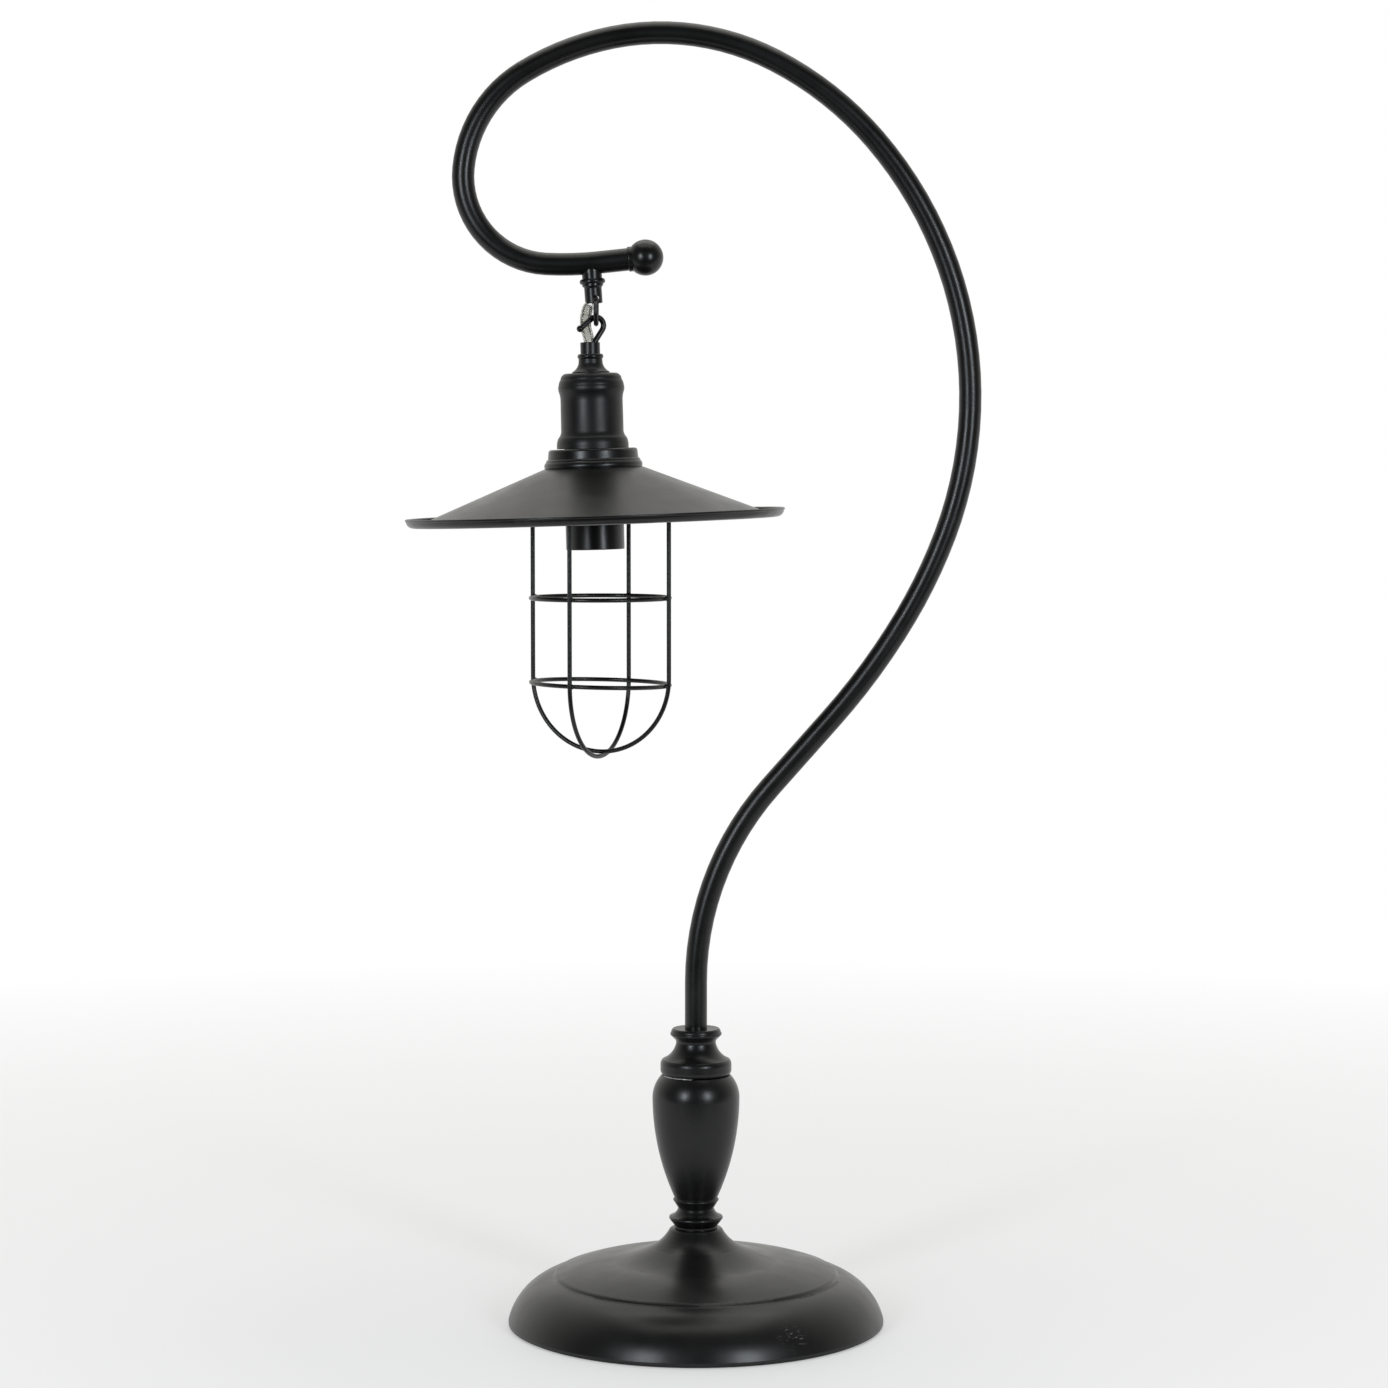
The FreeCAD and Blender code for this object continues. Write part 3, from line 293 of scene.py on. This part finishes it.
def moulded_plastic(name, tone=0.010, tint=0.02):
    """Moulded thermoset: faint flow marks, a fine matt grain and dust specks."""
    body = Shader(name)
    flow = body.noise(1.0, 3.0, place=body.stretched(90, 90, 30))
    specks = body.ramp(body.noise(2400.0, 1.0), 0.66, 0.74)
    colour = body.blend(flow, grey(tone, tint), grey(tone * 1.6, tint))
    body.set(Base_Color=body.blend(specks, colour, grey(tone * 3.5, tint)))
    body.set(Roughness=body.ramp(flow, 0.3, 0.7, 0.28, 0.36))
    body.bumps((body.noise(1500.0, 2.0), 0.000002), (flow, 0.00001))
    return body.material


def vulcanised_fibre(name):
    """Red-brown insulating board with a layered, fibrous grain."""
    board = Shader(name, Roughness=0.62)
    grain = board.noise(1.0, 4.0, place=board.stretched(900, 260, 2600))
    board.set(Base_Color=board.blend(grain, (0.075, 0.030, 0.018, 1.0), (0.16, 0.075, 0.045, 1.0)))
    board.bumps((grain, 0.00004),)
    return board.material


def pressed_brass(name):
    """Drawn brass: warm metal, brown tarnish blooms and fine draw lines."""
    brass = Shader(name, Metallic=1.0)
    tarnish = brass.ramp(brass.noise(160.0, 5.0, 0.6), 0.45, 0.75)
    lines = brass.noise(1.0, 2.0, place=brass.stretched(1800, 1800, 120))
    brass.set(Base_Color=brass.blend(tarnish, (0.75, 0.54, 0.22, 1.0), (0.38, 0.23, 0.09, 1.0)))
    brass.set(Roughness=brass.ramp(tarnish, 0.0, 1.0, 0.22, 0.48))
    brass.bumps((lines, 0.00001), (brass.noise(900.0), 0.000006))
    return brass.material


def clear_vinyl(name):
    """Clear flexible PVC, a little yellow and hazy, with extrusion lines."""
    vinyl = Shader(name)
    vinyl.surface.inputs["Transmission Weight"].default_value = 0.72
    vinyl.surface.inputs["IOR"].default_value = 1.36
    haze = vinyl.noise(300.0, 3.0)
    vinyl.set(Base_Color=vinyl.blend(haze, (0.62, 0.62, 0.57, 1.0), (0.52, 0.52, 0.47, 1.0)))
    vinyl.set(Roughness=vinyl.ramp(haze, 0.3, 0.7, 0.16, 0.26))
    vinyl.bumps((vinyl.noise(160.0, 1.0), 0.00003), (haze, 0.000006))
    return vinyl.material


def tinned_wire(name):
    """Tinned copper strands, dull silver with a copper cast where the tin is thin."""
    wire = Shader(name, Metallic=1.0)
    thin = wire.ramp(wire.noise(500.0, 4.0), 0.5, 0.7)
    wire.set(Base_Color=wire.blend(thin, grey(0.42, 0.02), (0.42, 0.34, 0.27, 1.0)))
    wire.set(Roughness=wire.ramp(thin, 0.0, 1.0, 0.25, 0.42))
    wire.bumps((wire.noise(2500.0), 0.00001),)
    return wire.material


def bare_edge(name):
    """The pale machined shoulder that the paint has drawn back from."""
    shoulder = Shader(name, Metallic=0.35)
    dirt = shoulder.ramp(shoulder.noise(500.0, 4.0), 0.45, 0.7)
    shoulder.set(Base_Color=shoulder.blend(dirt, grey(0.85, 0.02), grey(0.55, 0.04)))
    shoulder.set(Roughness=shoulder.ramp(dirt, 0.0, 1.0, 0.35, 0.6))
    shoulder.bumps((shoulder.noise(1500.0), 0.00002),)
    return shoulder.material


COAT = powder_coat("black_powder_coat")
SMOOTH_COAT = powder_coat("black_powder_coat_fine", peel=0.0000002)
CAP_COAT = powder_coat("black_powder_coat_cap", peel=0.0000004, matt=0.37)
SPUN_COAT = powder_coat("black_powder_coat_spun", peel=0.0000015, sag=0.00002)
BASE_COAT = powder_coat("black_powder_coat_base", peel=0.0000015, sag=0.00003, scuff=SCUFF)
STEEL = plated_steel("zinc_plated_steel")
IRON = cast_iron("sand_cast_iron")
FELT = pressed_felt("pressed_felt")
NYLON = moulded_plastic("moulded_nylon")
PHENOLIC = moulded_plastic("moulded_phenolic", tone=0.004)
FIBRE = vulcanised_fibre("vulcanised_fibre")
BRASS = pressed_brass("pressed_brass")
VINYL = clear_vinyl("clear_vinyl")
WIRE = tinned_wire("tinned_copper")
SHOULDER = bare_edge("bare_shoulder")

SLOT_FINISH = {
    "black_steel": COAT,
    "cast_iron": IRON,
    "plain_steel": STEEL,
    "felt": FELT,
    "black_plastic": NYLON,
    "phenolic": PHENOLIC,
    "insulating_board": FIBRE,
    "brass": BRASS,
    "clear_pvc": VINYL,
}
NODE_FINISH = {
    "shade": SPUN_COAT,
    "base_shell": BASE_COAT,
    "socket_cap": CAP_COAT,
    "cap_bell": CAP_COAT,
    "crook_tube": SMOOTH_COAT,
    "end_ball": SMOOTH_COAT,
}


def finish_cad_nodes():
    """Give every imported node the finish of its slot, or its own."""
    for entry in frame["record"]["subparts"]:
        piece = frame["nodes"][entry["node"]]
        material = NODE_FINISH.get(entry["node"], SLOT_FINISH[entry["material_slot"]])
        piece.data.materials.clear()
        piece.data.materials.append(material)


# Mesh helpers


def new_piece(name, mesh, material, body):
    """Add a mesh as a piece that rides on a body."""
    mesh.materials.append(material)
    mesh.shade_smooth()
    piece = bpy.data.objects.new(name, mesh)
    bpy.context.scene.collection.objects.link(piece)
    if body is not None:
        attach(piece, body)
    return piece


def mesh_of(name, points, faces):
    mesh = bpy.data.meshes.new(name)
    mesh.from_pydata([tuple(point) for point in points], [], faces)
    mesh.update()
    return mesh


def grid_faces(rows, columns, first=0, close_rows=False):
    """Quads between rows of a ring's points; each row is a closed ring."""
    faces = []
    steps = rows if close_rows else rows - 1
    for row in range(steps):
        following = (row + 1) % rows
        for column in range(columns):
            beside = (column + 1) % columns
            faces.append((first + row * columns + column, first + row * columns + beside,
                          first + following * columns + beside, first + following * columns + column))
    return faces


def route_points(corners, count):
    """Evenly spaced points on a smooth curve whose control points are the corners."""
    curve = bpy.data.curves.new("route", "CURVE")
    curve.dimensions = "3D"
    spline = curve.splines.new("NURBS")
    spline.points.add(len(corners) - 1)
    for point, corner in zip(spline.points, corners):
        point.co = (*corner, 1.0)
    spline.order_u = 3
    spline.use_endpoint_u = True
    spline.resolution_u = 24
    carrier = bpy.data.objects.new("route", curve)
    line = [vertex.co.copy() for vertex in bpy.data.meshes.new_from_object(carrier).vertices]
    bpy.data.objects.remove(carrier)
    lengths = [0.0]
    for before, after in zip(line, line[1:]):
        lengths.append(lengths[-1] + (after - before).length)
    points = []
    span = 0
    for step in range(count):
        target = lengths[-1] * step / (count - 1)
        while span < len(line) - 2 and lengths[span + 1] < target:
            span += 1
        share = (target - lengths[span]) / (lengths[span + 1] - lengths[span])
        points.append(line[span].lerp(line[span + 1], share))
    return points


def swept(points, section_at):
    """The points and faces of a closed tube along points.

    section_at(share) gives the section's (across, through) pairs, and its turn.
    """
    ring_points = []
    count = len(points)
    columns = 0
    for index, point in enumerate(points):
        ahead = points[min(index + 1, count - 1)] - points[max(index - 1, 0)]
        ahead.normalize()
        share = index / (count - 1)
        pairs, turn = section_at(share)
        side = ahead.cross(FRONT).normalized()
        side.rotate(Quaternion(ahead, turn))
        through = ahead.cross(side)
        columns = len(pairs)
        ring_points.extend(point + side * across + through * depth for across, depth in pairs)
    faces = grid_faces(count, columns)
    faces.append(tuple(range(columns))[::-1])
    faces.append(tuple(range((count - 1) * columns, count * columns)))
    return ring_points, faces


# The clear lead between the cups


def lead_corners():
    """The lead's route, from inside the hanger cup past the link into the hook cup."""
    cup_low, cup_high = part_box("hanger_cup")
    top = Vector(((cup_low.x + cup_high.x) / 2, 0, cup_high.z - 3.0 * MM))
    mouth = Vector((top.x - 2.0 * MM, 0.3 * MM, cup_low.z + 1.0 * MM))
    seat = LANTERN @ (LANTERN.inverted() @ box_centre("hook_cup") + Vector((-0.5, 2.2, -2.0)) * MM)
    return [
        top,
        top + Vector((-0.8, 0, -2.4)) * MM,
        mouth + Vector((0.2, 0, 3.0)) * MM,
        mouth,
        mouth + Vector((-1.2, 0.4, -4.0)) * MM,
        mouth + Vector((-2.4, 1.0, -9.0)) * MM,
        mouth + Vector((-2.6, 1.7, -13.5)) * MM,
        mouth + Vector((-1.7, 2.2, -17.5)) * MM,
        seat + Vector((-0.3, 0.1, 7.4)) * MM,
        seat + Vector((0, 0, 3.6)) * MM,
        seat,
    ]


def lead_turn(share):
    """The flat lead's turn at a share of its route: edge-on at the top, then face-on."""
    eased = min(max((share - 0.16) / 0.22, 0.0), 1.0)
    return -math.pi / 2 + (math.pi / 2) * eased * eased * (3 - 2 * eased)


def twin_section():
    """The lead's outline: two round cores moulded side by side."""
    pairs = []
    half = 12
    radius = LEAD_HALF_DEPTH
    for side in (1, -1):
        for step in range(half + 1):
            angle = math.pi / 2 - math.pi * step / half
            across = CORE_SPACING + radius * math.cos(angle)
            depth = radius * math.sin(angle)
            pairs.append((side * across, side * depth))
    valley = [(0.0, -radius * VALLEY_DEPTH)]
    crest = [(0.0, radius * VALLEY_DEPTH)]
    return pairs[: half + 1] + valley + pairs[half + 1:] + crest


def make_lead():
    """The clear lead in two halves, an upper and a lower, each with its stranded cores."""
    points = route_points(lead_corners(), LEAD_RINGS)
    pairs = twin_section()
    stand_link = (points[10], points[LEAD_SPLIT - 4])
    link_lantern = (points[LEAD_SPLIT + 4], points[-8])
    for name, first, last, bodies, ends in (
        ("clear_lead_upper", 0, LEAD_SPLIT, ("stand", "link"), stand_link),
        ("clear_lead_lower", LEAD_SPLIT, LEAD_RINGS - 1, ("link", "lantern"), link_lantern),
    ):
        stretch = points[first:last + 1]

        def turn_at(share, first=first, last=last):
            return lead_turn((first + share * (last - first)) / (LEAD_RINGS - 1))

        skin_points, skin_faces = swept(stretch, lambda share: (pairs, turn_at(share)))
        skin = new_piece(name, mesh_of(name, skin_points, skin_faces), VINYL, None)
        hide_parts("clear_lead")
        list(bodies)
        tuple(ends[0])
        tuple(ends[1])
        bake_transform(skin)
        core_points = []
        core_faces = []
        for side in (-1, 1):
            for strand in range(STRANDS):
                add_strand(core_points, core_faces, stretch, side, strand, turn_at, first)
        core_mesh = mesh_of(name + "_cores", core_points, core_faces)
        cores = new_piece(name + "_cores", core_mesh, WIRE, None)
        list(bodies)
        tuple(ends[0])
        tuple(ends[1])
        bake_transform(cores)


def add_strand(points, faces, stretch, side, strand, turn_at, first):
    """One thin wire of a core: the first is straight, the others lie round it."""
    lay_radius = 0.0 if strand == 0 else LAY_RADIUS

    def section(share):
        index = first + share * (len(stretch) - 1)
        angle = 2 * math.pi * (strand / (STRANDS - 1) + index / LAY_RINGS)
        centre_across = side * CORE_SPACING + lay_radius * math.cos(angle)
        centre_depth = lay_radius * math.sin(angle)
        ring = []
        for step in range(6):
            around = math.pi * step / 3
            ring.append((centre_across + STRAND_RADIUS * math.cos(around),
                         centre_depth + STRAND_RADIUS * math.sin(around)))
        return ring, turn_at(share)

    ring_points, ring_faces = swept(stretch, section)
    offset = len(points)
    points.extend(ring_points)
    faces.extend(tuple(offset + corner for corner in face) for face in ring_faces)


# Screw shell


def make_screw_shell():
    """The rolled brass shell, with its round thread."""
    low = -SHELL_LENGTH / 2
    columns = 96
    rows = 72
    points = []
    for inside in (True, False):
        order = range(rows) if inside else reversed(range(rows))
        for row in order:
            height = low + SHELL_LENGTH * row / (rows - 1)
            ease = min(row, rows - 1 - row) / 6
            for column in range(columns):
                angle = 2 * math.pi * column / columns
                wave = 0.5 - 0.5 * math.cos(2 * math.pi * (height / THREAD_PITCH - column / columns))
                radius = SHELL_BORE + THREAD_DEPTH * wave * min(ease, 1.0) - THREAD_DEPTH * 0.5
                radius += 0 if inside else SHELL_WALL
                spot = Vector((radius * math.cos(angle), radius * math.sin(angle), height))
                points.append(LANTERN @ spot)
    mesh = mesh_of("screw_shell", points, grid_faces(2 * rows, columns, close_rows=True))
    shell = new_piece("screw_shell", mesh, BRASS, "lantern")
    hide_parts("socket_shell")


# Welds on the cage


def make_welds():
    """Small uneven beads where the cage's rings meet its hoops."""
    shape = bmesh.new()
    sizes = random.Random(11)
    for ring in ("cage_ring_upper", "cage_ring_lower"):
        centre = box_centre(ring)
        low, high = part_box(ring)
        lean = math.asin(max(high.z - low.z - RING_WIRE, 0) / (high.x - low.x))
        for quarter in range(4):
            angle = math.radians(90 * quarter - CAGE_YAW)
            outward = Vector((math.cos(angle), math.sin(angle), 0))
            spot = centre + outward * (CAGE_RADIUS - HOOP_WIRE / 2)
            spot.z -= (spot.x - centre.x) * math.tan(lean)
            add_bead(shape, spot, outward, sizes)
    mesh = bpy.data.meshes.new("cage_welds")
    shape.to_mesh(mesh)
    shape.free()
    new_piece("cage_welds", mesh, COAT, "lantern")


def add_bead(shape, spot, outward, sizes):
    """One bead, a little rough and a little above the ring's middle."""
    radius = (1.75 + 0.3 * sizes.random()) * MM
    bead = bmesh.ops.create_icosphere(shape, subdivisions=3, radius=radius)
    turn = Vector((1, 0, 0)).rotation_difference(outward).to_matrix()
    lift = Vector((0, 0, 0.4 * sizes.random() * MM))
    for vertex in bead["verts"]:
        rough = 1 + 0.12 * noise.noise(vertex.co * 900 + spot * 1000)
        shaped = Vector((vertex.co.x * 0.95, vertex.co.y * 1.1, vertex.co.z * 0.8)) * rough
        vertex.co = spot + turn @ shaped + lift


# The bare shoulder in the seam above the vase


def make_seam_shoulder():
    """A sliver of bare metal in the seam between vase and collar, on its front left."""
    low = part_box("column_vase")[1].z
    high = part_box("column_collar")[0].z
    first, last = (math.radians(degrees) for degrees in SHOULDER_SPAN)
    steps = 64
    points = []
    for step in range(steps + 1):
        share = step / steps
        angle = first + (last - first) * share
        taper = min(1.0, 5 * share, 5 * (1 - share))
        top = low + (high - low) * (0.15 + 0.8 * taper)
        for radius, height in ((SHOULDER_INNER, low), (SHOULDER_OUTER, low),
                               (SHOULDER_OUTER, top), (SHOULDER_INNER, top)):
            points.append(Vector((radius * math.cos(angle), radius * math.sin(angle), height)))
    faces = grid_faces(steps + 1, 4)
    faces.append((3, 2, 1, 0))
    faces.append(tuple(range(4 * steps, 4 * steps + 4)))
    mesh = mesh_of("seam_shoulder", points, faces)
    new_piece("seam_shoulder", mesh, SHOULDER, "stand")


# Stage, light and camera


def make_floor():
    """A pale sheet that ends a little in front of the lamp and fades into the background behind it."""
    corners = [(-FLOOR_REACH, FLOOR_FRONT, 0), (FLOOR_REACH, FLOOR_FRONT, 0),
               (FLOOR_REACH, FLOOR_REACH, 0), (-FLOOR_REACH, FLOOR_REACH, 0)]
    mesh = mesh_of("floor", corners, [(0, 1, 2, 3)])
    floor = bpy.data.objects.new("floor", mesh)
    bpy.context.scene.collection.objects.link(floor)
    cloth = Shader("studio_floor", Roughness=0.7)
    cloth.set(Base_Color=cloth.blend(cloth.noise(3.0), grey(0.86), grey(0.89)))
    distance = cloth.add("ShaderNodeVectorMath", {"operation": "LENGTH"}, Vector=cloth.place)
    faded = cloth.ramp(distance.outputs["Value"], *FLOOR_FADE, 0.35, 1.0)
    glow = cloth.add("ShaderNodeEmission", Color=(1, 1, 1, 1), Strength=1.0)
    mix = cloth.add("ShaderNodeMixShader", Fac=faded)
    cloth.tree.links.new(cloth.surface.outputs[0], mix.inputs[1])
    cloth.tree.links.new(glow.outputs[0], mix.inputs[2])
    cloth.tree.links.new(mix.outputs[0], cloth.tree.nodes["Material Output"].inputs["Surface"])
    mesh.materials.append(cloth.material)


def make_world():
    """White behind and above the lamp, dimmer in front, as in a studio with a white sweep."""
    world = bpy.data.worlds.new("studio")
    bpy.context.scene.world = world
    world.use_nodes = True
    tree = world.node_tree
    tree.nodes.clear()
    place = tree.nodes.new("ShaderNodeTexCoord")
    split = tree.nodes.new("ShaderNodeSeparateXYZ")
    tree.links.new(place.outputs["Generated"], split.inputs[0])
    back = tree.nodes.new("ShaderNodeMapRange")
    back.interpolation_type = "SMOOTHSTEP"
    limits = (*WORLD_DEPTHS, *WORLD_STRENGTHS)
    for name, number in zip(("From Min", "From Max", "To Min", "To Max"), limits):
        back.inputs[name].default_value = number
    tree.links.new(split.outputs["Y"], back.inputs["Value"])
    studio = tree.nodes.new("ShaderNodeBackground")
    tree.links.new(back.outputs["Result"], studio.inputs["Strength"])
    studio.inputs["Color"].default_value = WORLD_COLOUR
    paper = tree.nodes.new("ShaderNodeBackground")
    paper.inputs["Color"].default_value = (1.0, 1.0, 1.0, 1.0)
    seen = tree.nodes.new("ShaderNodeLightPath")
    mix = tree.nodes.new("ShaderNodeMixShader")
    tree.links.new(seen.outputs["Is Camera Ray"], mix.inputs[0])
    tree.links.new(studio.outputs[0], mix.inputs[1])
    tree.links.new(paper.outputs[0], mix.inputs[2])
    output = tree.nodes.new("ShaderNodeOutputWorld")
    tree.links.new(mix.outputs[0], output.inputs["Surface"])


def add_area_light(name, place, aim, size, power, colour):
    """A soft rectangular light that faces aim."""
    light = bpy.data.lights.new(name, "AREA")
    light.shape = "RECTANGLE"
    light.size, light.size_y = size
    light.energy = power
    light.color = colour
    lamp = bpy.data.objects.new(name, light)
    lamp.location = place
    lamp.rotation_euler = (Vector(aim) - Vector(place)).to_track_quat("-Z", "Y").to_euler()
    bpy.context.scene.collection.objects.link(lamp)


def make_lights():
    """Two upright softboxes beside the camera, and a wide light from above."""
    for name, side in (("softbox_left", -1), ("softbox_right", 1)):
        turn = math.radians(SOFTBOX_TURN * side)
        place = (SOFTBOX_DISTANCE * math.sin(turn), -SOFTBOX_DISTANCE * math.cos(turn), SOFTBOX_HEIGHT)
        add_area_light(name, place, SOFTBOX_AIM, SOFTBOX_SIZE, SOFTBOX_POWER, SOFTBOX_COLOUR)
    add_area_light("overhead", OVERHEAD_PLACE, (0, 0, 0), OVERHEAD_SIZE, OVERHEAD_POWER, OVERHEAD_COLOUR)


def make_camera():
    camera = bpy.data.cameras.new("camera")
    camera.lens = CAMERA_LENS
    camera.sensor_width = CAMERA_SENSOR
    viewer = bpy.data.objects.new("camera", camera)
    viewer.location = CAMERA_PLACE
    viewer.rotation_euler = (math.radians(90 - CAMERA_DOWN), 0, 0)
    bpy.context.scene.collection.objects.link(viewer)
    bpy.context.scene.camera = viewer
    bpy.context.scene.view_settings.view_transform = "Standard"


make_camera()
make_world()
make_lights()
make_floor()
finish_cad_nodes()
make_lead()
make_screw_shell()
make_welds()
make_seam_shoulder()
